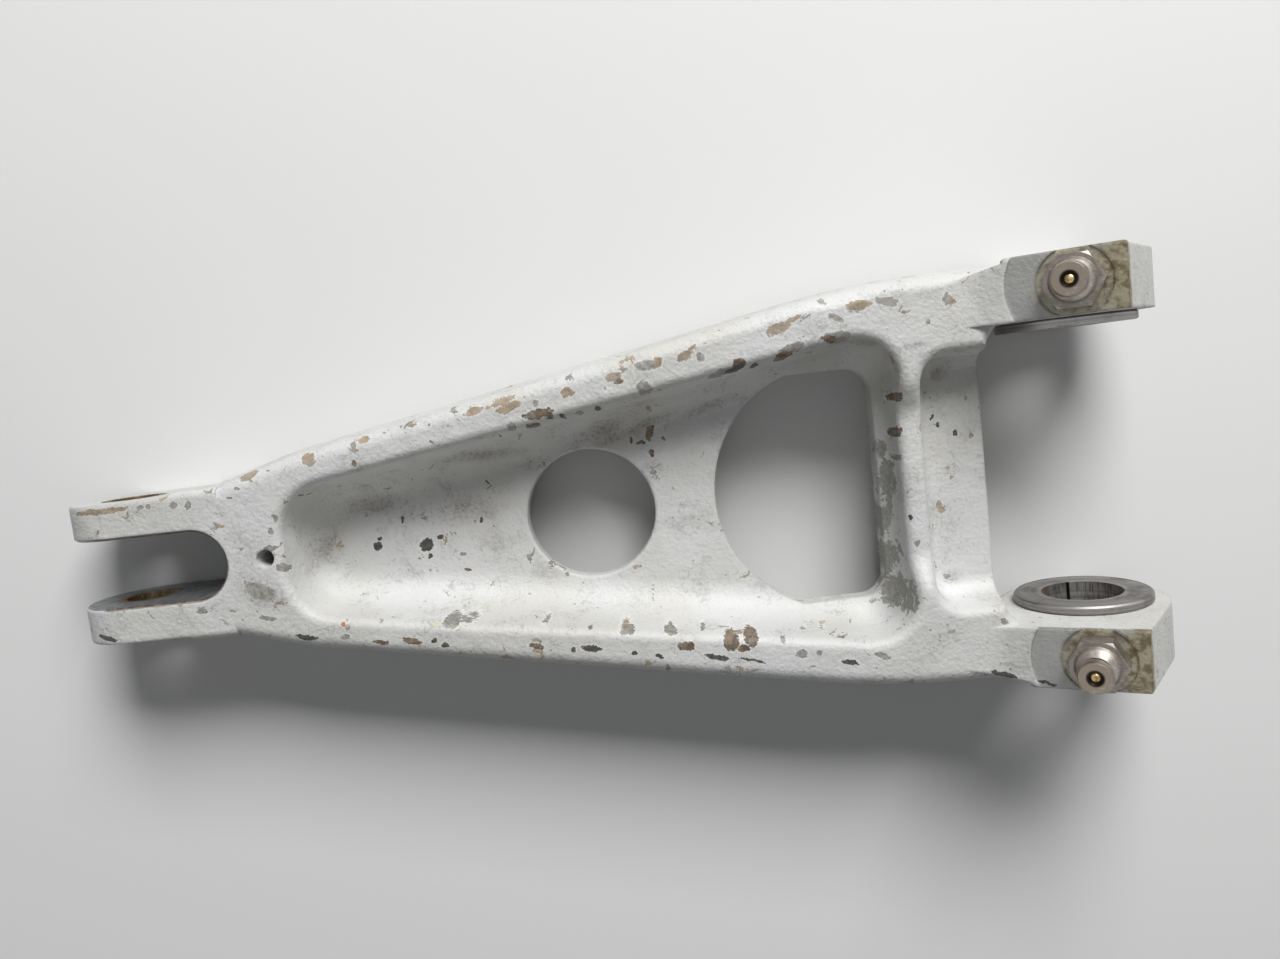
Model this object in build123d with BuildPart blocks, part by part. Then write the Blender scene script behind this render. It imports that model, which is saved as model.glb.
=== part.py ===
from build123d import *

# Landing gear torque knee: one arm of the scissor link that keeps a landing gear's wheel straight.
# A light-alloy forging with a clevis at its narrow end and two bushed lugs at its wide end.
# Origin: middle of the wide end's bore axis. +X runs to the wide end, +Y along the bore axis.
# It lies on its back, on the lugs and the ears, with the front face and the fittings up.
import os
from math import acos, asin, atan2, cos, hypot, radians, sin, sqrt, tan

# Wide end
lug_bore_diameter = 15.88         # inside the flanged bushings
lug_bushing_diameter = 20.64      # outside of the bushings' sleeves
lug_bushing_recess = 0.4          # sleeve's end below the lug's outer face
flange_diameter = 27.0
flange_thickness = 1.9
flange_chamfer = 0.35
flange_gap = 55.3                 # clear width between the two flanges
lug_thickness = 12.0
lug_radius = 16.4
lug_edge_radius = 0.7
lug_shoulder_start = 14.0         # left of this the lugs' outer faces slant into the arms
lug_shoulder_end = 33.0
lug_shoulder_depth = 4.8

# Narrow end
pin_distance = 198.0              # from the wide end's axis to the clevis pin's axis
pin_bore_diameter = 9.53          # inside the ear bushings
ear_bushing_diameter = 12.7
ear_radius = 12.2                 # plan rounding of the ears and half the forging's thickness
ear_thickness = 7.35
ear_stock = 0.85                  # forged height round the ears' machined outer faces
ear_spotface_radius = 18.0
ear_edge_radius = 1.5             # before the facing
slot_width = 14.0
slot_end = 23.6                   # from the pin's axis to the bottom of the slot
slot_edge_chamfer = 0.5
locking_hole_diameter = 3.6
locking_hole_position = 166.3     # from the wide end's axis

# Forging
mid_plane = 1.6                   # the forging's mid-plane lies this far in front of the bore axis
parting_land = 3.0                # width of the trimmed flash line round the forging
draft = 8.0
arm_slope = 10.1                  # the arms' outer edges against the midline
arm_station = 110.0               # where the arms' half-width is measured
arm_half_width = 29.6
root_station = 161.0              # where the arms' edges turn in towards the ears
root_slope = 16.2
root_radius = 60.0
hip_radius = 160.0                # blend from an arm's edge to its lug's outer face
outer_edge_radius = 3.0

# Pockets, front and back
pocket_slope = 8.64
pocket_station = 101.0
pocket_half_width = 22.0
pocket_end = 163.0                # the pocket's round end, from the wide end's axis
pocket_wide_end = 37.2            # its wide end, beside the cross-member's rib
pocket_corner_radius = 9.0
pocket_round = 0.85               # share of the narrow end that is rounded
web_front = -1.0                  # the web's front face, from the bore axis
web_thickness = 4.0
front_floor_radius = 7.0
back_floor_radius = 3.5
rim_radius = 2.0

# Cross-member between the lugs
member_edge = 19.2                # its straight edge, from the bore axis
member_corner_radius = 5.3
rib_width = 3.6                   # between the rims of the pocket and of the panel's recess
rib_front = 10.4                  # the rib's crest, from the bore axis
rib_half_length = 14.5            # where the crest starts to ramp up to the arms
rib_ramp = 30.0
rib_ramp_radius = 6.0
panel_half_height = 25.6
panel_front = 3.0                 # the flat panel's front face, from the bore axis
panel_thickness = 5.0
panel_corner_radius = 6.0
panel_floor_radius = 3.4

# Openings in the web
round_hole_diameter = 27.4
round_hole_position = 101.4
round_hole_edge_radius = 0.6
window_radius = 26.2              # the D-shaped window's curved side
window_centre = 48.6
window_half_height = 24.3
window_straight_side = 40.6
window_corner_radius = 5.0

# Pads for the grease fittings
pad_lean = 28.0                   # the pads lean this much towards the narrow end
pad_height = 22.5                 # from the bore axis
pad_offset = 4.2                  # the fitting's axis passes this far beside the bore axis
pad_half_width = 8.7
pad_stock = 0.4                   # forged height round the machined pad
pad_blend_radius = 8.0            # between the pad's slope and the arm's front
pad_cutter_radius = 12.0
seat_cutter_radius = 6.6
seat_depth = 0.3
grease_hole_diameter = 2.6

# Grease fittings, measured along their own axis from the seat
hexagon_width = 9.53
hexagon_height = 4.6
hexagon_chamfer_radius = 4.9      # the chamfer starts at this radius on the hexagon's ends
nipple_length = 6.1
nipple_foot_radius = 4.1
nipple_neck_radius = 2.5
nipple_head_radius = 3.25
nipple_end_radius = 2.9
nipple_shoulder_height = 1.7
nipple_neck_height = 2.5
nipple_head_height = 4.9
thread_diameter = 6.3
thread_length = 7.6
thread_clearance = 0.02
thread_run_out = 1.4

# Check valve inside each fitting
ball_diameter = 2.7
ball_clearance = 0.03
valve_mouth_diameter = 2.6
valve_seat_diameter = 1.9
valve_lip = 0.45                  # depth of the mouth's countersink
valve_chamber_diameter = 3.3
valve_passage_diameter = 1.3
spring_wire_diameter = 0.36
spring_coil_radius = 1.0
spring_length = 4.6
spring_turns = 6

# Derived sizes
lug_inner = flange_gap / 2 + flange_thickness
lug_outer = lug_inner + lug_thickness
lug_middle = lug_inner + lug_thickness / 2
half_slot = slot_width / 2
ear_outer = half_slot + ear_thickness
front_level = mid_plane + ear_radius
back_level = mid_plane - ear_radius
web_back = web_front - web_thickness
panel_back = panel_front - panel_thickness
rib_back = 2 * mid_plane - rib_front
rib_wide_end = pocket_wide_end - rib_width
lug_bore_radius = lug_bore_diameter / 2
lug_bushing_radius = lug_bushing_diameter / 2
slot_length = 2 * pin_distance
rib_cutter_width = 2 * rib_width
seat_height = pad_height - seat_depth
hexagon_outline_radius = hexagon_width / sqrt(3)
hexagon_chamfer_height = hexagon_height - (hexagon_outline_radius - hexagon_chamfer_radius) * 0.6
nipple_end = hexagon_height + nipple_length
ball_radius = ball_diameter / 2
spring_wire_radius = spring_wire_diameter / 2
valve_seat_level = nipple_end - valve_lip
seat_cone_height = (valve_chamber_diameter - valve_seat_diameter) / 2
ball_level = valve_seat_level - sqrt(ball_radius**2 - (valve_seat_diameter / 2) ** 2) - ball_clearance
spring_top = ball_level - sqrt((ball_radius + spring_wire_radius) ** 2 - spring_coil_radius**2)
spring_top = spring_top + spring_wire_radius - ball_clearance
spring_foot = spring_top - spring_length

# The floor touches the lugs' round backs and the ears' round backs
rest_angle = asin((lug_radius - ear_radius) / hypot(pin_distance, mid_plane))
rest_angle = rest_angle + atan2(mid_plane, pin_distance)


def leaning(angle):
    """A plane through the bore axis whose normal leans by the angle towards the narrow end."""
    x_axis = (cos(angle), 0, sin(angle))
    z_axis = (-sin(angle), 0, cos(angle))
    return Plane(origin=(0, 0, 0), x_dir=x_axis, z_dir=z_axis)


def moved(plane, x, y):
    """The same plane with its origin moved within itself."""
    return Plane(origin=plane.from_local_coords((x, y, 0)), x_dir=plane.x_dir, z_dir=plane.z_dir)


face = leaning(rest_angle)        # x along the midline, y along the bore axis, z to the front
side = Plane(origin=(0, 0, 0), x_dir=face.x_dir, z_dir=-face.y_dir)
pad = leaning(rest_angle + radians(pad_lean))
seats = [moved(pad.offset(seat_height), pad_offset, y) for y in (lug_middle, -lug_middle)]

# The pad's ends, in the side view
lean = radians(pad_lean)
stock_height = pad_height + pad_stock
pad_reach = pad_offset + pad_half_width
pad_corner_x = pad_reach * cos(lean) - stock_height * sin(lean)
pad_corner_z = pad_reach * sin(lean) + stock_height * cos(lean)
pad_corner = (pad_corner_x, pad_corner_z)
pad_foot_x = pad_corner_x - (pad_corner_z - front_level) / tan(lean)
pad_foot = (pad_foot_x, front_level)
pad_start = (-lug_shoulder_end, front_level)


def touching(point, turn):
    """Where a line from a point of the side view touches the lug's round."""
    angle = atan2(point[1], point[0]) + turn * acos(lug_radius / hypot(*point))
    return (lug_radius * cos(angle), lug_radius * sin(angle))


def arm_edge(x):
    """Half-width of the forging where its arms run straight."""
    return arm_half_width + tan(radians(arm_slope)) * (x + arm_station)


def root_edge(x):
    """Half-width of the forging between the arms and the ears."""
    return arm_edge(-root_station) + tan(radians(root_slope)) * (x + root_station)


def pocket_edge(x):
    """Half-width of the pockets at their rims."""
    return pocket_half_width + tan(radians(pocket_slope)) * (x + pocket_station)


os.makedirs("parts", exist_ok=True)
root_start = -(pin_distance - ear_radius / 2)
hip_station = (lug_outer - arm_half_width) / tan(radians(arm_slope)) - arm_station


def closed_outline(level, half, radii):
    """A face at a level, from one half of its outline and the radius of each corner."""
    with BuildSketch(face.offset(level)) as outline:
        with BuildLine():
            other_half = [(x, -y) for x, y in reversed(half)]
            FilletPolyline(*half, *other_half, radius=(*radii, *reversed(radii)), close=True)
        make_face()
    return outline.sketch


def forging_outline(level):
    """The arms and the cross-member at a level."""
    half = [
        (-member_edge, lug_inner),
        (0, lug_inner),
        (0, lug_outer),
        (hip_station, lug_outer),
        (-root_station, arm_edge(-root_station)),
        (root_start, root_edge(root_start)),
    ]
    return closed_outline(level, half, (member_corner_radius, 0, 0, hip_radius, root_radius, 0))


def pocket_outline(level):
    """A pocket's rim: a wedge between the arms, round at its narrow end."""
    half = [
        (-pocket_wide_end, pocket_edge(-pocket_wide_end)),
        (-pocket_end, pocket_edge(-pocket_end)),
    ]
    return closed_outline(level, half, (pocket_corner_radius, pocket_round * pocket_edge(-pocket_end)))


def panel_outline(level):
    """The recess over the flat panel, open towards the lugs."""
    half = [
        (0, panel_half_height),
        (-rib_wide_end, panel_half_height),
    ]
    return closed_outline(level, half, (panel_corner_radius, panel_corner_radius))


def rib_profile(level, crest):
    """What is cut off the rib, seen along the midline: down to its crest and up ramps to the arms."""
    rise = abs(level - crest)
    ramp_top = rib_half_length + rise / tan(radians(rib_ramp))
    reach = ramp_top + rib_ramp_radius
    rib_middle = face.from_local_coords((-(pocket_wide_end + rib_wide_end) / 2, 0, 0))
    across = Plane(origin=rib_middle, x_dir=face.y_dir, z_dir=face.x_dir)
    with BuildSketch(across) as profile:
        with BuildLine():
            crest_line = FilletPolyline(
                (-reach, level),
                (-ramp_top, level),
                (-rib_half_length, crest),
                (rib_half_length, crest),
                (ramp_top, level),
                (reach, level),
                radius=rib_ramp_radius,
            )
            above = 2 * level - crest
            Polyline(crest_line @ 1, (reach, above), (-reach, above), crest_line @ 0)
        make_face()
    return profile.sketch


def hollow_rims(part, toward):
    """The edges of the front or back surface that go round the hollows between the arms."""
    facing = face.z_dir * toward
    least = rib_front - mid_plane - 0.01
    tops = [top for top in part.faces() if top.normal_at().dot(facing) > 0.7]
    tops = [top for top in tops if toward * (face.to_local_coords(top.center()).Z - mid_plane) > least]
    edges = [edge for top in tops for edge in top.edges()]
    rims = []
    for edge in edges:
        middle = face.to_local_coords(edge @ 0.5)
        inside = abs(middle.Y) < (pocket_edge(middle.X) + arm_edge(middle.X)) / 2
        if edges.count(edge) == 1 and inside and -pocket_end - rim_radius < middle.X < -member_edge / 2:
            rims.append(edge)
    return rims


def lug_outer_edges(part):
    """The edges round a lug's outer face, apart from those that end up inside the arm."""
    outer_face = part.faces().sort_by(Axis.Y)[-1]
    return [edge for edge in outer_face.edges() if (edge @ 0).X > -lug_radius or (edge @ 1).X > -lug_radius]


def at_level(part, level):
    """The part's edges that lie at a level in front of the bore axis."""
    heights = [face.to_local_coords(edge @ 0.5).Z for edge in part.edges()]
    return [edge for edge, height in zip(part.edges(), heights) if abs(height - level) < 0.01]


def slot_edges(part):
    """The edges of the clevis slot at the front, at the back and round the ears' tips."""
    chosen = []
    for edge in part.edges():
        middle = face.to_local_coords(edge @ 0.5)
        from_pin = hypot(middle.X + pin_distance, middle.Z - mid_plane)
        beside_slot = all(abs(vertex.Y) < half_slot + 0.01 for vertex in edge.vertices())
        if beside_slot and from_pin > ear_radius - 0.01 and middle.X < slot_end + 0.01 - pin_distance:
            chosen.append(edge)
    return chosen


def round_hole_edges(part):
    """The edges of the round hole, on both sides of the web."""
    chosen = []
    for edge in part.edges().filter_by(GeomType.CIRCLE):
        middle = face.to_local_coords(edge @ 0.5)
        if abs(hypot(middle.X + round_hole_position, middle.Y) - round_hole_diameter / 2) < 0.01:
            chosen.append(edge)
    return chosen


def outer_rims(part, level):
    """The long outer edges of the arms at a level."""
    chosen = []
    for edge in at_level(part, level):
        middle = face.to_local_coords(edge @ 0.5)
        if edge.length > ear_radius and abs(middle.Y) > arm_edge(middle.X) - outer_edge_radius:
            chosen.append(edge)
    return chosen


# Cutters for the hollows of the forging, with their floors already rounded
with BuildPart() as front_pocket:
    extrude(pocket_outline(front_level), amount=front_level - web_front, taper=draft)
    fillet(at_level(front_pocket.part, 2 * front_level - web_front), front_floor_radius)
    mirror(about=face.offset(front_level), mode=Mode.REPLACE)

with BuildPart() as back_pocket:
    extrude(pocket_outline(back_level), amount=web_back - back_level, taper=draft)
    fillet(at_level(back_pocket.part, web_back), back_floor_radius)

with BuildPart() as front_panel:
    extrude(panel_outline(front_level), amount=front_level - panel_front, taper=draft)
    fillet(at_level(front_panel.part, 2 * front_level - panel_front), panel_floor_radius)
    mirror(about=face.offset(front_level), mode=Mode.REPLACE)

with BuildPart() as back_panel:
    extrude(panel_outline(back_level), amount=panel_back - back_level, taper=draft)
    fillet(at_level(back_panel.part, panel_back), back_floor_radius)

# One lug: round about the bore, drawn out to its pad in front, slanting into the arm on the left
with BuildPart() as lug:
    with BuildSketch(side.offset(-lug_inner)):
        with BuildLine():
            FilletPolyline(pad_start, pad_foot, pad_corner, radius=(pad_blend_radius,))
            Line(touching(pad_start, 1), pad_start)
            Line(pad_corner, touching(pad_corner, -1))
            ThreePointArc(touching(pad_corner, -1), (0, -lug_radius), touching(pad_start, 1))
        make_face()
    extrude(amount=-lug_thickness)
    fillet(lug_outer_edges(lug.part), lug_edge_radius)
    with BuildSketch(face.offset(-lug_radius)):
        with BuildLine():
            Polyline(
                (-lug_shoulder_start, lug_outer),
                (-lug_shoulder_end, lug_outer - lug_shoulder_depth),
                (-lug_shoulder_end, lug_outer),
                close=True,
            )
        make_face()
    extrude(amount=2 * lug_radius, mode=Mode.SUBTRACT)

# The ears in one block, before they are faced and slotted
with BuildPart() as ear_block:
    with BuildSketch(side):
        with Locations((-pin_distance, mid_plane)):
            Circle(ear_radius)
        with Locations((-pin_distance + slot_end / 2, mid_plane)):
            Rectangle(slot_end, 2 * ear_radius)
    extrude(amount=ear_outer + ear_stock, both=True)
    ends = ear_block.faces().filter_by(Axis.Y).edges()
    fillet([edge for edge in ends if (edge @ 0.5).X < slot_end * 3 / 4 - pin_distance], ear_edge_radius)

with BuildPart() as torque_knee_body:
    # Half the forging, mirrored about its parting plane
    extrude(forging_outline(mid_plane), amount=parting_land / 2)
    half_thickness = ear_radius - parting_land / 2
    extrude(forging_outline(mid_plane + parting_land / 2), amount=half_thickness, taper=draft)
    fillet(outer_rims(torque_knee_body.part, front_level), outer_edge_radius)
    mirror(about=face.offset(mid_plane))

    # Hollows, and the rib left a little below the arms
    add(front_pocket.part, mode=Mode.SUBTRACT)
    add(back_pocket.part, mode=Mode.SUBTRACT)
    add(front_panel.part, mode=Mode.SUBTRACT)
    add(back_panel.part, mode=Mode.SUBTRACT)
    for level, crest in ((front_level, rib_front), (back_level, rib_back)):
        extrude(rib_profile(level, crest), amount=rib_cutter_width, both=True, mode=Mode.SUBTRACT)
    for toward in (1, -1):
        fillet(hollow_rims(torque_knee_body.part, toward), rim_radius)

    # Ears, spot-faced outside and slotted between
    add(ear_block.part)
    for half in (1, -1):
        with BuildSketch(side.offset(half * ear_outer)):
            with Locations((-pin_distance, mid_plane)):
                Circle(ear_spotface_radius)
        extrude(amount=half * ear_radius, mode=Mode.SUBTRACT)
    slot_centre = -pin_distance + slot_end - half_slot
    with BuildSketch(face.offset(back_level)):
        with Locations((slot_centre, 0)):
            Circle(half_slot)
        with Locations((slot_centre - slot_length / 2, 0)):
            Rectangle(slot_length, slot_width)
    extrude(amount=2 * ear_radius, mode=Mode.SUBTRACT)
    chamfer(slot_edges(torque_knee_body.part), slot_edge_chamfer)

    # Lugs, each with a pad for its grease fitting
    add(lug.part)
    mirror(lug.part, about=side)

    # Round hole and D-shaped window
    with BuildSketch(face.offset(back_level)):
        with Locations((-round_hole_position, 0)):
            Circle(round_hole_diameter / 2)
    extrude(amount=2 * ear_radius, mode=Mode.SUBTRACT)
    fillet(round_hole_edges(torque_knee_body.part), round_hole_edge_radius)
    with BuildSketch(face.offset(back_level)) as window:
        with Locations((-window_centre, 0)):
            Circle(window_radius)
        with Locations((-window_centre - window_radius, 0)):
            Rectangle(2 * window_radius, 2 * window_half_height, mode=Mode.INTERSECT)
        with Locations((-(window_centre + window_straight_side) / 2, 0)):
            Rectangle(window_centre - window_straight_side, 2 * window_half_height)
        fillet(window.vertices().group_by(Axis.X)[-1], window_corner_radius)
    extrude(amount=2 * ear_radius, mode=Mode.SUBTRACT)

    # Bores across the midline, and the locking hole through the root of the ears
    with BuildSketch(side):
        Circle(lug_bushing_radius)
        with Locations((-pin_distance, mid_plane)):
            Circle(ear_bushing_diameter / 2)
    extrude(amount=lug_outer, both=True, mode=Mode.SUBTRACT)
    with BuildSketch(face.offset(back_level)):
        with Locations((-locking_hole_position, 0)):
            Circle(locking_hole_diameter / 2)
    extrude(amount=2 * ear_radius, mode=Mode.SUBTRACT)

    # Machined pads, seats, threaded holes and grease ways
    for seat in seats:
        with BuildSketch(seat.offset(seat_depth)):
            Circle(pad_cutter_radius)
        extrude(amount=lug_radius, mode=Mode.SUBTRACT)
        with BuildSketch(seat):
            Circle(seat_cutter_radius)
        extrude(amount=lug_radius, mode=Mode.SUBTRACT)
        with BuildSketch(seat):
            Circle(thread_diameter / 2 + thread_clearance)
        extrude(amount=-(thread_length + thread_run_out), mode=Mode.SUBTRACT)
        with BuildSketch(seat):
            Circle(grease_hole_diameter / 2)
        extrude(amount=-seat_height, mode=Mode.SUBTRACT)

torque_knee_body.part.label = "torque_knee_body"
export_step(torque_knee_body.part, "parts/torque_knee_body.step")


def lug_bushing(half, seat):
    """A flanged bushing, pressed into a lug from the inside, with its grease hole."""
    with BuildPart() as bushing:
        with BuildSketch(side.offset(half * lug_inner)):
            Circle(flange_diameter / 2)
        extrude(amount=-half * flange_thickness)
        chamfer(bushing.edges().filter_by(GeomType.CIRCLE), flange_chamfer)
        with BuildSketch(side.offset(half * lug_inner)):
            Circle(lug_bushing_radius)
        extrude(amount=half * (lug_thickness - lug_bushing_recess))
        with BuildSketch(side.offset(half * lug_outer)):
            Circle(lug_bore_radius)
        extrude(amount=-half * lug_outer, mode=Mode.SUBTRACT)
        with BuildSketch(seat):
            Circle(grease_hole_diameter / 2)
        extrude(amount=-seat_height, mode=Mode.SUBTRACT)
    return bushing.part


def ear_bushing(half):
    """A plain sleeve in an ear, flush with both of its faces."""
    with BuildPart() as bushing:
        with BuildSketch(side.offset(half * half_slot)):
            with Locations((-pin_distance, mid_plane)):
                Circle(ear_bushing_diameter / 2)
                Circle(pin_bore_diameter / 2, mode=Mode.SUBTRACT)
        extrude(amount=half * ear_thickness)
    return bushing.part


def grease_fitting(seat):
    """A hexagon with a nipple above and a threaded shank below, bored for its valve."""
    section = Plane(origin=seat.origin, x_dir=seat.x_dir, z_dir=-seat.y_dir)
    with BuildPart() as fitting:
        with BuildSketch(seat):
            RegularPolygon(hexagon_width / 2, 6, major_radius=False)
        extrude(amount=hexagon_height)
        with BuildSketch(section):
            with BuildLine():
                Polyline(
                    (0, 0),
                    (hexagon_outline_radius, 0),
                    (hexagon_outline_radius, hexagon_chamfer_height),
                    (hexagon_chamfer_radius, hexagon_height),
                    (0, hexagon_height),
                    close=True,
                )
            make_face()
        revolve(axis=Axis(section.origin, seat.z_dir), mode=Mode.INTERSECT)
        with BuildSketch(section):
            with BuildLine():
                Polyline(
                    (0, -thread_length),
                    (thread_diameter / 2, -thread_length),
                    (thread_diameter / 2, hexagon_height / 2),
                    (nipple_foot_radius, hexagon_height / 2),
                    (nipple_foot_radius, hexagon_height),
                    (nipple_neck_radius, hexagon_height + nipple_shoulder_height),
                    (nipple_neck_radius, hexagon_height + nipple_neck_height),
                    (nipple_head_radius, hexagon_height + nipple_head_height),
                    (nipple_end_radius, nipple_end),
                    (0, nipple_end),
                    close=True,
                )
            make_face()
        revolve(axis=Axis(section.origin, seat.z_dir))
        with BuildSketch(section):
            with BuildLine():
                Polyline(
                    (0, -thread_length),
                    (valve_passage_diameter / 2, -thread_length),
                    (valve_passage_diameter / 2, spring_foot),
                    (valve_chamber_diameter / 2, spring_foot),
                    (valve_chamber_diameter / 2, valve_seat_level - seat_cone_height),
                    (valve_seat_diameter / 2, valve_seat_level),
                    (valve_mouth_diameter / 2, nipple_end),
                    (0, nipple_end),
                    close=True,
                )
            make_face()
        revolve(axis=Axis(section.origin, seat.z_dir), mode=Mode.SUBTRACT)
    return fitting.part


def check_ball(seat):
    """The ball that closes a fitting's mouth from inside."""
    section = Plane(origin=seat.origin, x_dir=seat.x_dir, z_dir=-seat.y_dir)
    with BuildPart() as ball:
        with BuildSketch(section):
            with BuildLine():
                CenterArc((0, ball_level), ball_radius, -90, 180)
                Line((0, ball_level + ball_radius), (0, ball_level - ball_radius))
            make_face()
        revolve(axis=Axis(section.origin, seat.z_dir))
    return ball.part


def ball_spring(seat):
    """The coil spring that holds a check ball up against its seat."""
    foot = seat.offset(spring_foot + spring_wire_radius)
    height = spring_top - spring_foot - 2 * spring_wire_radius
    with BuildPart() as spring:
        with BuildLine() as coil:
            pitch = height / spring_turns
            Helix(pitch, height, spring_coil_radius, center=foot.origin, direction=foot.z_dir)
        with BuildSketch(Plane(origin=coil.line @ 0, z_dir=coil.line % 0)):
            Circle(spring_wire_radius)
        sweep(path=coil.line, is_frenet=True)
    return spring.part


for name, half, seat in (("left", -1, seats[0]), ("right", 1, seats[1])):
    pieces = {
        "lug_bushing": lug_bushing(half, seat),
        "ear_bushing": ear_bushing(half),
        "grease_fitting": grease_fitting(seat),
        "check_ball": check_ball(seat),
        "ball_spring": ball_spring(seat),
    }
    for piece, part in pieces.items():
        part.label = f"{name}_{piece}"
        export_step(part, f"parts/{name}_{piece}.step")
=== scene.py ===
import bmesh
import bpy
from math import asin, atan2, cos, hypot, radians, sin, tan
from mathutils import Matrix, Vector


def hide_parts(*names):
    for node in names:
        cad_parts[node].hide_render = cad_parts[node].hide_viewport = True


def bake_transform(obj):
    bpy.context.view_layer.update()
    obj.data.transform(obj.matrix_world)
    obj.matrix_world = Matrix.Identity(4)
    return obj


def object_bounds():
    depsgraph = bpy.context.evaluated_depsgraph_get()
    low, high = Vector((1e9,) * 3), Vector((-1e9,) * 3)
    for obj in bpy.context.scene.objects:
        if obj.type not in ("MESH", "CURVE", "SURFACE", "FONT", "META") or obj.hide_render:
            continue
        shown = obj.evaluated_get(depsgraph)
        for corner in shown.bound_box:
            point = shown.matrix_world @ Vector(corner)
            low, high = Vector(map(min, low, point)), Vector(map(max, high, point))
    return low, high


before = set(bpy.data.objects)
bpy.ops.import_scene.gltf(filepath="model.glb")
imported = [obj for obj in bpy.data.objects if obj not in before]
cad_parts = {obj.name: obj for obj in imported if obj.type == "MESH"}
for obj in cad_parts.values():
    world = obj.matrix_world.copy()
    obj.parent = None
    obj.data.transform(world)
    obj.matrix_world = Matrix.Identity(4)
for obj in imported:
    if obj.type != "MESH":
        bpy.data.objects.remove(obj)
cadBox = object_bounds()

# The knee lies tilted a little on its back, so places on it are given in its own millimetres:
# x along the midline, t along the bore axis, n to the front
knee = {
    "pinDistance": 198.0,
    "midPlane": 1.6,
    "lugRadius": 16.4,
    "earRadius": 12.2,
    "lugMiddle": 35.55,
    "padLean": 28.0,
    "seatHeight": 22.2,
    "padOffset": 4.2,
    "armStation": 110.0,
    "armHalfWidth": 29.6,
    "armSlope": 10.1,
}
mm = 0.001


def restAngle():
    k = knee
    drop = asin((k["lugRadius"] - k["earRadius"]) / hypot(k["pinDistance"], k["midPlane"]))
    return drop + atan2(k["midPlane"], k["pinDistance"])


kneeFrame = Matrix.Rotation(-restAngle(), 4, "Y") @ Matrix.Scale(mm, 4)


def place(x, t, n):
    return kneeFrame @ Vector((x, t, n))


def turn(x, t, n):
    return (kneeFrame.to_3x3() @ Vector((x, t, n))).normalized()


# where a fitting's axis meets its seat
def seatPlace(half):
    lean = radians(knee["padLean"])
    x = knee["padOffset"] * cos(lean) - knee["seatHeight"] * sin(lean)
    n = knee["padOffset"] * sin(lean) + knee["seatHeight"] * cos(lean)
    return (x, half * knee["lugMiddle"], n)


def newObject(name, data):
    made = bpy.data.objects.new(name, data)
    bpy.context.scene.collection.objects.link(made)
    return made


# a colour as it looks on the screen, 0 to 255, made linear for the shaders
def screen(*levels):
    parts = [level / 255 for level in levels]
    return tuple(p / 12.92 if p < 0.04045 else ((p + 0.055) / 1.055) ** 2.4 for p in parts) + (1.0,)


# Camera
camera = {
    "place": (-82.07, 26.03, 194.91),
    "looksAlong": (-0.0414, -0.1016, -0.9940),
    "up": (0.1103, 0.9883, -0.1056),
    "lens": 26.06,
    "sensor": 36.0,
    "nearest": 0.01,
    "farthest": 20.0,
}


def makeCamera():
    data = bpy.data.cameras.new("camera")
    data.lens = camera["lens"]
    data.sensor_width = camera["sensor"]
    data.clip_start = camera["nearest"]
    data.clip_end = camera["farthest"]
    eye = newObject("camera", data)
    back = -turn(*camera["looksAlong"])
    right = turn(*camera["up"]).cross(back).normalized()
    up = back.cross(right)
    turned = Matrix((right, up, back)).transposed().to_4x4()
    eye.matrix_world = Matrix.Translation(place(*camera["place"])) @ turned
    bpy.context.scene.camera = eye


# One output of a shader node, on which sums can be written
class Value:
    def __init__(self, finish, socket):
        self.finish = finish
        self.socket = socket

    def work(self, operation, *values):
        return self.finish.node("ShaderNodeMath", {"operation": operation}, values)

    def __add__(self, other):
        return self.work("ADD", self, other)

    def __radd__(self, other):
        return self.work("ADD", other, self)

    def __sub__(self, other):
        return self.work("SUBTRACT", self, other)

    def __rsub__(self, other):
        return self.work("SUBTRACT", other, self)

    def __mul__(self, other):
        return self.work("MULTIPLY", self, other)

    def __rmul__(self, other):
        return self.work("MULTIPLY", other, self)

    def __abs__(self):
        return self.work("ABSOLUTE", self)

    def least(self, other):
        return self.work("MINIMUM", self, other)

    def most(self, other):
        return self.work("MAXIMUM", self, other)

    # 0 at low, 1 at high, with soft ends; low may lie above high
    def ramp(self, low, high):
        settings = {"interpolation_type": "SMOOTHSTEP"}
        return self.finish.node("ShaderNodeMapRange", settings, (self, low, high, 0.0, 1.0))

    # 1 between two levels, with ends as soft as given
    def between(self, low, high, soft):
        return self.ramp(low - soft, low + soft) * self.ramp(high + soft, high - soft)


waiting = (1e-7, 1e-7, 1e-7)
farAway = 100.0
ovalsAtOnce = 4


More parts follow.
